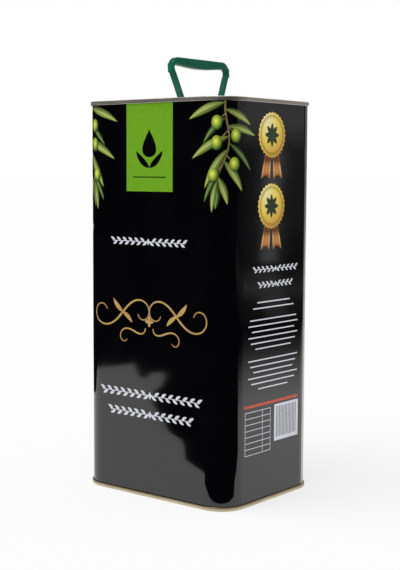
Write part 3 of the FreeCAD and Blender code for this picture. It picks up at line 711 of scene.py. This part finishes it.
# Laurels: left and right end from the face's middle, height, and size of a leaf pair, in mm.
side_laurels = ((-25.5, 31.5, 184, 5.2), (-19, 25, 172, 5.2))
rule_middle = RIGHT + 1 * MM
rule_half = 33 * MM
rule_top = 158 * MM
rule_pitch = 4.5 * MM
rule_width = 1.0 * MM
rule_shares = (0.66, 0.82, 0, 0.94, 1.0, 0.86, 1.0, 0.9, 0.72, 0, 1.0, 0.92, 0.8, 1.0, 0.88, 0.6)
table_low = 40 * MM
table_left = RIGHT - 35.6 * MM
table_right = RIGHT - 2.0 * MM
table_line = 0.5 * MM
table_row = 4.8 * MM
table_lines = 8
table_high = table_low + (table_lines - 1) * table_row + table_line
table_columns = (table_left, RIGHT - 13.0 * MM, table_right - table_line)
orange_left = RIGHT - 36.9 * MM
orange_right = RIGHT + 34.8 * MM
orange_low = 77.2 * MM
orange_high = 79.4 * MM
block_left = RIGHT + 3 * MM
block_right = RIGHT + 36 * MM
block_low = 46 * MM
block_high = 75.5 * MM
bar_margin = 3 * MM
bar_count = 14
bar_pitch = 2.0 * MM
bar_width = 0.7 * MM
bar_high = block_high - 2 * MM

white_work, ruled, bars = [], [], []
for left, right, height, size in side_laurels:
    white_work += laurel(RIGHT + left * MM, RIGHT + right * MM, height * MM, size * MM)
for number, share in enumerate(rule_shares):
    if share:
        height = rule_top - number * rule_pitch
        half = rule_half * share
        ruled.append(bar(rule_middle - half, height, rule_middle + half, height + rule_width))
for number in range(table_lines):
    height = table_low + number * table_row
    ruled.append(bar(table_left, height, table_right, height + table_line))
for left in table_columns:
    ruled.append(bar(left, table_low, left + table_line, table_high))
for number in range(bar_count):
    left = block_left + bar_margin + number * bar_pitch
    bars.append(bar(left, block_low + bar_margin, left + bar_width, bar_high))
orange_line = [bar(orange_left, orange_low, orange_right, orange_high)]
white_block = [bar(block_left, block_low, block_right, block_high)]
white_ink = ink("white_ink_right", SIDE_WHITE, SIDE_WHITE_DULL)
add_print("right_laurels", white_ink, white_work)
add_print("ruled_lines", white_ink, ruled)
add_print("orange_line", ink("orange_ink", ORANGE_LINE, ORANGE_LINE_DARK), orange_line)
add_print("white_block", white_ink, white_block)
add_print("even_bars", motif_ink, bars, layer=1)


# Bare strips: the strip of the left face that the print leaves free for the lap weld, with the grey
# oxide of the weld along its middle, and a narrow one round the back right corner.
MARGIN_TIN = (200, 197, 191)
MARGIN_TIN_DULL = (178, 174, 167)
WELD_GREY = (112, 108, 104)
WELD_GREY_DARK = (78, 74, 72)
cloud_spots = 45
rolling_lines = (40, 1600, 1600)
rolling_depth = 0.003 * MM
strip_low = 3.4 * MM
strip_high = 311.6 * MM
weld_place = LEFT - 30 * MM
weld_half = 0.6 * MM
margin_half = 5 * MM
edge_place = RIGHT + 46.3 * MM
edge_half = 4 * MM


def tinplate(name, bright, dull, roughness):
    """Rolled steel sheet under tin: fine lines along X, cloudy patches and a satin shine."""
    finish = new_finish(name, roughness=roughness, metallic=1.0)
    two_tone(finish, mottle(finish, place_on_object(finish), cloud_spots, detail=5), bright, dull)
    lines = mottle(finish, place_on_object(finish, rolling_lines), 1, detail=4)
    lead(finish, spread(finish, lines, roughness - 0.08, roughness + 0.1), "Roughness")
    emboss(finish, lines, rolling_depth)
    return finish


def strip(place, half, across=4):
    """An upright strip from seam to seam."""
    return [bar(place - half, strip_low, place + half, strip_high, across)]


margin_tin = tinplate("margin_tin", MARGIN_TIN, MARGIN_TIN_DULL, roughness=0.36)
add_print("weld_margin", margin_tin, strip(weld_place, margin_half))
edge_tin = tinplate("edge_tin", MARGIN_TIN, MARGIN_TIN_DULL, roughness=0.36)
add_print("bare_edge", edge_tin, strip(edge_place, edge_half, across=8))
weld_oxide = tinplate("weld_oxide", WELD_GREY, WELD_GREY_DARK, roughness=0.5)
add_print("side_weld", weld_oxide, strip(weld_place, weld_half), layer=4)


# Top end: stamped from bare tinplate, with rolling lines along the sheet and a soft grey bloom.
# Its rim is rolled twice round the body's flange.
BARE_TIN = (243, 235, 224)
BARE_TIN_DULL = (226, 217, 205)

dress("top_end", tinplate("bare_tinplate", BARE_TIN, BARE_TIN_DULL, roughness=0.42))


# Bottom end: the same stamping in gold lacquered tinplate, with a stiffening step in its panel.
# Above its lowest edge it is painted darker, a painted reflection of the black body above it.
GOLD_LACQUER = (208, 195, 168)
GOLD_LACQUER_DULL = (188, 172, 142)
# Painted reflection of the black body: the lacquer darkens between these two heights and stays dark above
# them.
BODY_REFLECTION_SHADE = (176, 168, 158)
reflection_shade_from = 1.5 * MM
reflection_shade_full = 2.6 * MM


def gold_lacquer():
    """Gold lacquer over tinplate, with a painted reflection of the black body: darker above its lowest
    edge.
    """
    finish = tinplate("gold_lacquer", GOLD_LACQUER, GOLD_LACQUER_DULL, roughness=0.3)
    lacquer = shader_of(finish).inputs["Base Color"].links[0].from_socket
    height = finish.node_tree.nodes.new("ShaderNodeSeparateXYZ")
    finish.node_tree.links.new(place_on_object(finish), height.inputs["Vector"])
    above = finish.node_tree.nodes.new("ShaderNodeMapRange")
    above.inputs["From Min"].default_value = reflection_shade_from
    above.inputs["From Max"].default_value = reflection_shade_full
    finish.node_tree.links.new(height.outputs["Z"], above.inputs["Value"])
    # Painted reflection: the colour is multiplied darker above the lowest edge, for the black body seen
    # in the seam.
    shade = ramp(finish, above.outputs["Result"], [(0.0, NO_SHADE), (1.0, BODY_REFLECTION_SHADE)])
    lead(finish, multiply(finish, lacquer, shade), "Base Color")
    return finish


dress("bottom_end", gold_lacquer())


# Seam compound: a bead of sealing rubber in each double seam, flowed into the end's curl while wet
# and squeezed between the hooks as the seam is rolled. It lies wholly inside.
COMPOUND = (150, 140, 120)
COMPOUND_DARK = (128, 118, 100)
rubber_spots = 900
rubber_grain = 0.02 * MM


def rubber(name, light, dark):
    """Matt rubber with a fine grain."""
    finish = new_finish(name, roughness=0.75)
    grain = mottle(finish, place_on_object(finish), rubber_spots, detail=4)
    two_tone(finish, grain, light, dark)
    emboss(finish, grain, rubber_grain)
    return finish


for end in ("top", "bottom"):
    dress(f"{end}_seam_compound", rubber(f"{end}_compound", COMPOUND, COMPOUND_DARK))


# Handle lugs: two strips of tinned steel bent into bridges over the handle's pegs, each held to
# the top end by spot welds through its two feet.
LUG_STEEL = (186, 184, 180)
LUG_STEEL_DULL = (150, 147, 142)
SPOT_GREY = (134, 128, 122)
SPOT_GREY_DARK = (96, 90, 86)
lug_plate = 0.8 * MM
spot_inset = 2.8 * MM
spot_radius = 1.6 * MM
spot_outline = [
    (1.15 * spot_radius, -0.02 * MM), (spot_radius, 0.08 * MM), (0.9 * spot_radius, 0.12 * MM),
    (0.75 * spot_radius, 0.06 * MM), (0.5 * spot_radius, 0.03 * MM), (0.0, 0.02 * MM),
]


def add_turned(name, centre, outline, finish, around=64):
    """A turned piece: outline of (radius, height) points, round a point."""
    points, faces = [], []
    for i in range(around):
        angle = math.tau * i / around
        for radius, height in outline:
            points.append(centre + Vector((radius * math.cos(angle), radius * math.sin(angle), height)))
    count = len(outline)
    for i in range(around):
        for j in range(count - 1):
            here, there = i * count + j, (i + 1) % around * count + j
            faces.append((here, there, there + 1, here + 1))
    piece = new_piece(name, points, faces, finish)
    return piece


lug_finish = tinplate("lug_steel", LUG_STEEL, LUG_STEEL_DULL, roughness=0.36)
spot_finish = tinplate("spot_weld", SPOT_GREY, SPOT_GREY_DARK, roughness=0.5)
for end in ("front", "back"):
    dress(f"handle_lug_{end}", lug_finish)
    low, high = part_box(f"handle_lug_{end}")
    for side, foot_x in (("left", low.x + spot_inset), ("right", high.x - spot_inset)):
        name = f"spot_weld_{end}_{side}"
        foot_middle = Vector((foot_x, (low.y + high.y) / 2, low.z + lug_plate))
        spot = add_turned(name, foot_middle, spot_outline, spot_finish, around=32)
        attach(spot, "tin")


# Carrying handle: one moulding of dark green polyethylene, with grip, legs and pegs sprung into
# the lugs. Gloss from the mould, with faint flow lines along the grip.
HANDLE_GREEN = (11, 106, 83)
HANDLE_GREEN_DARK = (7, 94, 73)
flow_stretch = (1, 0.25, 1)
moulding_shine = 0.3
ripple_spots = 110
ripple_depth = 0.03 * MM
scuff_spots = 800
scuff_depth = 0.006 * MM


def moulded(name, light, dark, roughness, along=(1, 1, 1)):
    """Moulded plastic: cloudy colour, a slow ripple and fine wear in a soft gloss."""
    finish = new_finish(name, roughness=roughness, shine=moulding_shine)
    cloud = mottle(finish, place_on_object(finish, along), ripple_spots, detail=4)
    two_tone(finish, cloud, light, dark)
    worn = mottle(finish, place_on_object(finish), scuff_spots)
    lead(finish, spread(finish, worn, roughness - 0.07, roughness + 0.08), "Roughness")
    ripple = emboss(finish, cloud, ripple_depth)
    emboss(finish, worn, scuff_depth, ripple)
    return finish


handle_finish = moulded("handle_plastic", HANDLE_GREEN, HANDLE_GREEN_DARK, 0.26, flow_stretch)
dress("carry_handle", handle_finish)


# Spout seat: a flat rubber gasket on the neck's curl, the white flange that snaps over it, and a
# steel ring crimped round both.
GASKET = (62, 60, 58)
GASKET_DARK = (46, 44, 42)
SPOUT_WHITE = (226, 224, 214)
SPOUT_WHITE_DARK = (212, 209, 198)
CRIMP_STEEL = (190, 186, 178)
CRIMP_STEEL_DULL = (160, 155, 146)

dress("neck_gasket", rubber("gasket_rubber", GASKET, GASKET_DARK))
spout_finish = moulded("spout_plastic", SPOUT_WHITE, SPOUT_WHITE_DARK, roughness=0.4)
dress("spout_flange", spout_finish)
dress("crimp_ring", tinplate("crimp_steel", CRIMP_STEEL, CRIMP_STEEL_DULL, roughness=0.3))


# Spout web: the thin flexible cone that joins flange and nozzle and turns inside out when the
# nozzle is pulled up. One moulding with a soft S bend, so that it rolls over.
spout_x = -42 * MM
web_low, web_top = [corner.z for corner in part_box("spout_web")]
web_wall = 0.8 * MM
web_cuff = 1.4 * MM
web_radius_top = 17.35 * MM
web_radius_low = 12.9 * MM


def web_outline():
    """The cone's section, down its inside and up its outside."""
    steps = 24
    inside = [(web_radius_top, web_top)]
    for i in range(steps + 1):
        share = i / steps
        height = web_top - web_cuff - (web_top - web_low - 2 * web_cuff) * share
        ease = share * share * (3 - 2 * share)
        inside.append((web_radius_top + (web_radius_low - web_radius_top) * ease, height))
    inside.append((web_radius_low, web_low))
    outside = [(radius + web_wall, height) for radius, height in inside[::-1]]
    return inside + outside + inside[:1]


web_axis = Vector((spout_x, 0, 0))
web = add_turned("web_cone", web_axis, web_outline(), spout_finish, around=96)
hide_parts("spout_web")
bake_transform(web)


# Nozzle: the pouring tube of white polyethylene, moulded in one with the web, with one turn of right
# hand thread under its lip.
nozzle_radius = 11.5 * MM
thread_pitch = 4.0 * MM
thread_reach = 0.8 * MM
thread_start = 302.2 * MM
thread_turns = 1.1
thread_root_half = 0.75 * MM
thread_crest_half = 0.3 * MM
thread_sink = 0.03 * MM
thread_steps = 48
thread_edge = math.radians(50)
run_out_turns = 0.1
least_ridge = 0.02


def add_thread(name, start, turns, root, crest, finish, body):
    """A right hand thread: a ridge from its root to its crest, wound up from start."""
    steps = round(thread_steps * turns)
    points, faces = [], []
    for i in range(steps + 1):
        share = i / steps
        angle = math.tau * turns * share
        height = start + thread_pitch * turns * share
        grown = min(1.0, share * turns / run_out_turns, (1 - share) * turns / run_out_turns)
        tip = root + (crest - root) * max(grown, least_ridge)
        ridge = (
            (root, -thread_root_half), (tip, -thread_crest_half),
            (tip, thread_crest_half), (root, thread_root_half),
        )
        for radius, up in ridge:
            points.append((spout_x + radius * math.cos(angle), radius * math.sin(angle), height + up))
    for i in range(steps):
        for j in range(3):
            corner = i * 4 + j
            faces.append((corner, corner + 4, corner + 5, corner + 1))
    faces.append((0, 1, 2, 3))
    faces.append(tuple(steps * 4 + j for j in (3, 2, 1, 0)))
    piece = new_piece(name, points, faces, finish)
    piece.data.set_sharp_from_angle(angle=thread_edge)
    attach(piece, body)


dress("spout_nozzle", spout_finish)
add_thread(
    "nozzle_thread", thread_start, thread_turns,
    nozzle_radius - thread_sink, nozzle_radius + thread_reach,
    spout_finish, "spout",
)


# Cap: dark green screw cap with a fluted skirt and an inner thread, the tamper band below it that
# stays on the nozzle, and the foam liner that seals it on the nozzle's lip.
CAP_GREEN = (18, 96, 70)
CAP_GREEN_DARK = (12, 78, 57)
LINER_FOAM = (236, 234, 228)
LINER_FOAM_DARK = (220, 217, 208)
cap_radius = 12.5 * MM
cap_thread_reach = 0.3 * MM
cap_thread_turns = 0.75
cap_thread_start = thread_start + thread_pitch / 2

cap_finish = moulded("cap_plastic", CAP_GREEN, CAP_GREEN_DARK, roughness=0.34)
dress("spout_cap", cap_finish)
dress("tamper_band", cap_finish)
dress("cap_liner", rubber("liner_foam", LINER_FOAM, LINER_FOAM_DARK))
add_thread(
    "cap_thread", cap_thread_start, cap_thread_turns,
    cap_radius + thread_sink, cap_radius - cap_thread_reach,
    cap_finish, "cap",
)


# Pull bails: two half rings of the cap's plastic, each hinged on the cap's ledge. They lie flat
# round the cap, and are lifted with a finger to pull the spout up.
bail_finish = moulded("bail_plastic", CAP_GREEN, CAP_GREEN_DARK, roughness=0.3)
for side in ("left", "right"):
    dress(f"pull_bail_{side}", bail_finish)


# Stage: pale floor, white beyond it, soft light from the upper left, and cards that only show in
# gloss: a dark one past the table's front edge, a ring of dark walls, a grey room with a window at
# the back right, and a dark card high on the left.
WHITE_PAPER = (254, 254, 254)
ROOM_BLACK = ((0, 10), (1, 10))
floor_reach = 40.0
floor_glow = 0.75
camera_azimuth = 39.037
azimuth = math.radians(camera_azimuth)
card_height = 0.3 * MM
# The table's front edge: each corner's way towards the camera, and to the camera's right.
table_front = [
    (2.6, 6.0), (0.26, 0.6), (0.2, 0.458), (0.128, 0.224), (0.126, 0.104), (0.105, 0.06), (0.104, -0.1),
    (0.097, -0.154), (0.107, -0.212), (0.109, -0.233), (0.103, -0.272), (0.107, -0.337), (0.11, -0.4),
    (0.114, -0.439), (0.128, -0.5), (0.142, -0.531), (0.156, -0.589), (0.16, -0.625), (0.144, -0.62),
    (0.134, -0.587), (0.124, -0.582), (0.131, -0.659), (0.134, -0.695), (0.103, -0.68), (0.077, -0.672),
    (-0.027, -0.675), (-0.131, -0.66), (-0.22, -0.615), (-0.226, -0.434), (-0.33, -0.333),
    (-0.397, -0.204), (-4.0, -0.2), (-4.0, -6.0), (6.0, -6.0), (6.0, 6.0),
]
wall_distance = 5.0
wall_count = 24
wall_height = 0.9
wall_height_behind_camera = 4.0
behind_camera_from = 0.1
room_distance = 0.96 * wall_distance
room_top = 1.8
window_distance = 0.955 * wall_distance
window_foot = (53.1, 54.02)
window_top = (53.38, 54.22)
window_height = 0.37
WINDOW_GREY = ((0, 204), (1, 204))
gleam_near = 2.5
gleam_angles = (52.14, 53.38)
gleam_lift = 1.6 * card_height
GLEAM_GREY = ((0, 190), (1, 190))
glow_near = 1.5
glow_near_angles = (49.6, 51.0)
glow_far = 2.05
glow_far_angles = (50.3, 51.7)
glow_lift = 1.5 * card_height
sun_way = Vector((0.35, 0.5, -0.8))
sky_light = 0.55
sky_seen = 1.0


def seen_rays(tree):
    """One for rays that show the background: from the camera, off gloss and through clear pieces."""
    ray_kind = tree.nodes.new("ShaderNodeLightPath")
    seen = ray_kind.outputs["Is Camera Ray"]
    for kind in ("Is Glossy Ray", "Is Transmission Ray"):
        either = tree.nodes.new("ShaderNodeMath")
        either.operation = "MAXIMUM"
        tree.links.new(seen, either.inputs[0])
        tree.links.new(ray_kind.outputs[kind], either.inputs[1])
        seen = either.outputs["Value"]
    return seen


def make_floor():
    """A wide white floor that keeps a pale shadow."""
    finish = new_finish("pale_floor", roughness=1.0, shine=0.0, colour=WHITE_PAPER)
    tree = finish.node_tree
    glow = tree.nodes.new("ShaderNodeEmission")
    glow.inputs["Color"].default_value = paint(WHITE_PAPER)
    share = tree.nodes.new("ShaderNodeMath")
    share.operation = "MULTIPLY"
    share.inputs[1].default_value = floor_glow
    tree.links.new(seen_rays(tree), share.inputs[0])
    mix = tree.nodes.new("ShaderNodeMixShader")
    tree.links.new(share.outputs["Value"], mix.inputs["Fac"])
    tree.links.new(shader_of(finish).outputs["BSDF"], mix.inputs[1])
    tree.links.new(glow.outputs["Emission"], mix.inputs[2])
    tree.links.new(mix.outputs["Shader"], tree.nodes["Material Output"].inputs["Surface"])
    corners = [(x * floor_reach, y * floor_reach, 0) for x, y in ((-1, -1), (1, -1), (1, 1), (-1, 1))]
    new_piece("floor", corners, [(0, 1, 2, 3)], finish, smooth=False)


def make_card(name, corners, greys=ROOM_BLACK):
    """A card that only shows in gloss, in greys along it from its near side to its far side."""
    finish = new_finish(name, roughness=1.0, shine=0.0)
    stops = [(place, (grey, grey, grey)) for place, grey in greys]
    lead(finish, ramp(finish, mark_axis(finish, "X"), stops), "Base Color")
    card = new_piece(name, corners, [tuple(range(len(corners)))], finish, smooth=False)
    along = card.data.uv_layers.new(name="along")
    for loop in card.data.loops:
        along.data[loop.index].uv = (1.0 if loop.vertex_index in (1, 2) else 0.0, 0.0)
    card.visible_camera = False
    card.visible_diffuse = False
    card.visible_transmission = False
    card.visible_shadow = False


def from_camera_side(forward, side, up):
    """A point given by its way towards the camera, to the camera's right, and up."""
    return (
        forward * math.sin(azimuth) + side * math.cos(azimuth),
        -forward * math.cos(azimuth) + side * math.sin(azimuth),
        up,
    )


def polar(distance, angle, height):
    """A point at a distance and an angle, in degrees from +X, and at a height."""
    return (distance * math.cos(math.radians(angle)), distance * math.sin(math.radians(angle)), height)


def lay_card(name, angle, near, far, left, right, lift, greys):
    """A card on the floor: it lies in the direction angle, in degrees from +X, from near to far."""
    out = Vector(polar(1, angle, 0))
    across = Vector((-out.y, out.x, 0))
    ends = ((near, left), (far, left), (far, right), (near, right))
    base = Vector((0, 0, lift))
    make_card(name, [out * reach + across * side * reach + base for reach, side in ends], greys)


def angled_card(name, near, far, greys):
    """A card between two sides, each at a distance, between two angles from +X, and at a height."""
    near_one, near_two = [polar(near[0], angle, near[2]) for angle in near[1]]
    far_one, far_two = [polar(far[0], angle, far[2]) for angle in far[1]]
    make_card(name, [near_one, far_one, far_two, near_two], greys)


def hang_card(name, angles, low, high, greys):
    """A card before the wall, between two angles and two heights."""
    angled_card(name, (room_distance, angles, low), (room_distance, angles, high), greys)


make_floor()
make_card("front_card", [from_camera_side(forward, side, card_height) for forward, side in table_front])
for number in range(wall_count):
    one, two = [360 * (number + k) / wall_count for k in (0, 1)]
    behind_camera = math.cos(math.radians((one + two) / 2 + 90) - azimuth) > behind_camera_from
    top = wall_height_behind_camera if behind_camera else wall_height
    ends = ((one, 0), (two, 0), (two, top), (one, top))
    make_card(f"wall_{number}", [polar(wall_distance, angle, height) for angle, height in ends])
lay_card("table_end", 15, near=0.42, far=0.90, left=-1.3, right=2.4, lift=0.6 * card_height, greys=[
    (0.0, 250), (0.17, 216), (0.31, 184), (0.44, 150), (0.58, 106), (0.79, 62), (1.0, 20),
])
lay_card(
    "room_dark", 15, near=0.88, far=7.0, left=-0.4, right=2.4, lift=0.5 * card_height, greys=ROOM_BLACK,
)
lay_card("room_floor", 52, near=1.10, far=6.0, left=-1.0, right=0.55, lift=1.2 * card_height, greys=[
    (0.0, 20), (0.02, 52), (0.07, 56), (0.1, 80), (0.13, 99), (0.2, 76), (0.27, 50), (0.31, 44),
    (0.46, 49), (0.69, 62), (1.0, 62),
])
lay_card("room_patch", 52.2, near=1.17, far=2.3, left=-0.018, right=0.018, lift=1.4 * card_height, greys=[
    (0.0, 40), (0.1, 108), (0.4, 134), (0.85, 130), (1.0, 76),
])
window_sill = (window_distance, window_foot, 0)
window_head = (window_distance, window_top, window_height)
angled_card("window", window_sill, window_head, WINDOW_GREY)
gleam_start = (gleam_near, gleam_angles, gleam_lift)
gleam_end = (window_distance, window_foot, gleam_lift)
angled_card("window_on_floor", gleam_start, gleam_end, GLEAM_GREY)
glow_start = (glow_near, glow_near_angles, glow_lift)
glow_end = (glow_far, glow_far_angles, glow_lift)
angled_card("room_glow", glow_start, glow_end, [
    (0, 60), (0.25, 100), (0.45, 134), (0.7, 120), (1, 70),
])
hang_card("room_left", (10, 52.7), 0.0, wall_height, [
    (0.0, 50), (0.4, 50), (0.46, 108), (0.54, 150), (1.0, 146),
])
hang_card("room_right", (52.7, 66), 0.0, wall_height, [
    (0.0, 66), (0.4, 74), (0.46, 112), (0.54, 152), (1.0, 146),
])
hang_card("room_far_right", (66, 95), 0.0, wall_height, [(0.0, 66), (0.4, 60), (1.0, 60)])
hang_card("room_upper", (10, 66), wall_height, room_top, [(0.0, 130), (0.15, 60), (1.0, 60)])
make_card("upper_left", [(-0.9, -1.1, 0.5), (-0.9, -1.1, 2.2), (-0.9, 1.5, 2.2), (-0.9, 1.5, 0.4)])

sun = bpy.data.lights.new("key", "SUN")
sun.energy = 1.75
sun.angle = math.radians(60)
key = bpy.data.objects.new("key", sun)
bpy.context.scene.collection.objects.link(key)
key.rotation_euler = sun_way.to_track_quat("-Z", "Y").to_euler()

world = bpy.data.worlds.new("studio")
world.use_nodes = True
bpy.context.scene.world = world
nodes = world.node_tree.nodes
links = world.node_tree.links
level = nodes.new("ShaderNodeMapRange")
level.inputs["To Min"].default_value = sky_light
level.inputs["To Max"].default_value = sky_seen
links.new(seen_rays(world.node_tree), level.inputs["Value"])
nodes["Background"].inputs["Color"].default_value = (1, 1, 1, 1)
links.new(level.outputs["Result"], nodes["Background"].inputs["Strength"])
bpy.context.scene.view_settings.view_transform = "Standard"


# Camera: about a metre away and a little below the rim, off the front face's right edge, as the tin
# was photographed. Its lens is given in pixels of the photograph's long side.
camera_distance = 0.97319
camera_height = 0.25860
camera_pitch = 5.429
camera_roll = 0.243
camera_side_step = 0.00104
focal_pixels = 1187.2
frame_long_side = 570
sensor_long_side = 36.0

camera = bpy.data.objects.new("camera", bpy.data.cameras.new("camera"))
bpy.context.scene.collection.objects.link(camera)
stand = Vector(from_camera_side(camera_distance, camera_side_step, camera_height))
camera.matrix_world = (
    Matrix.Translation(stand)
    @ Matrix.Rotation(azimuth, 4, "Z")
    @ Matrix.Rotation(math.radians(90 - camera_pitch), 4, "X")
    @ Matrix.Rotation(math.radians(camera_roll), 4, "Z")
)
camera.data.sensor_width = sensor_long_side
camera.data.lens = focal_pixels * sensor_long_side / frame_long_side
bpy.context.scene.camera = camera
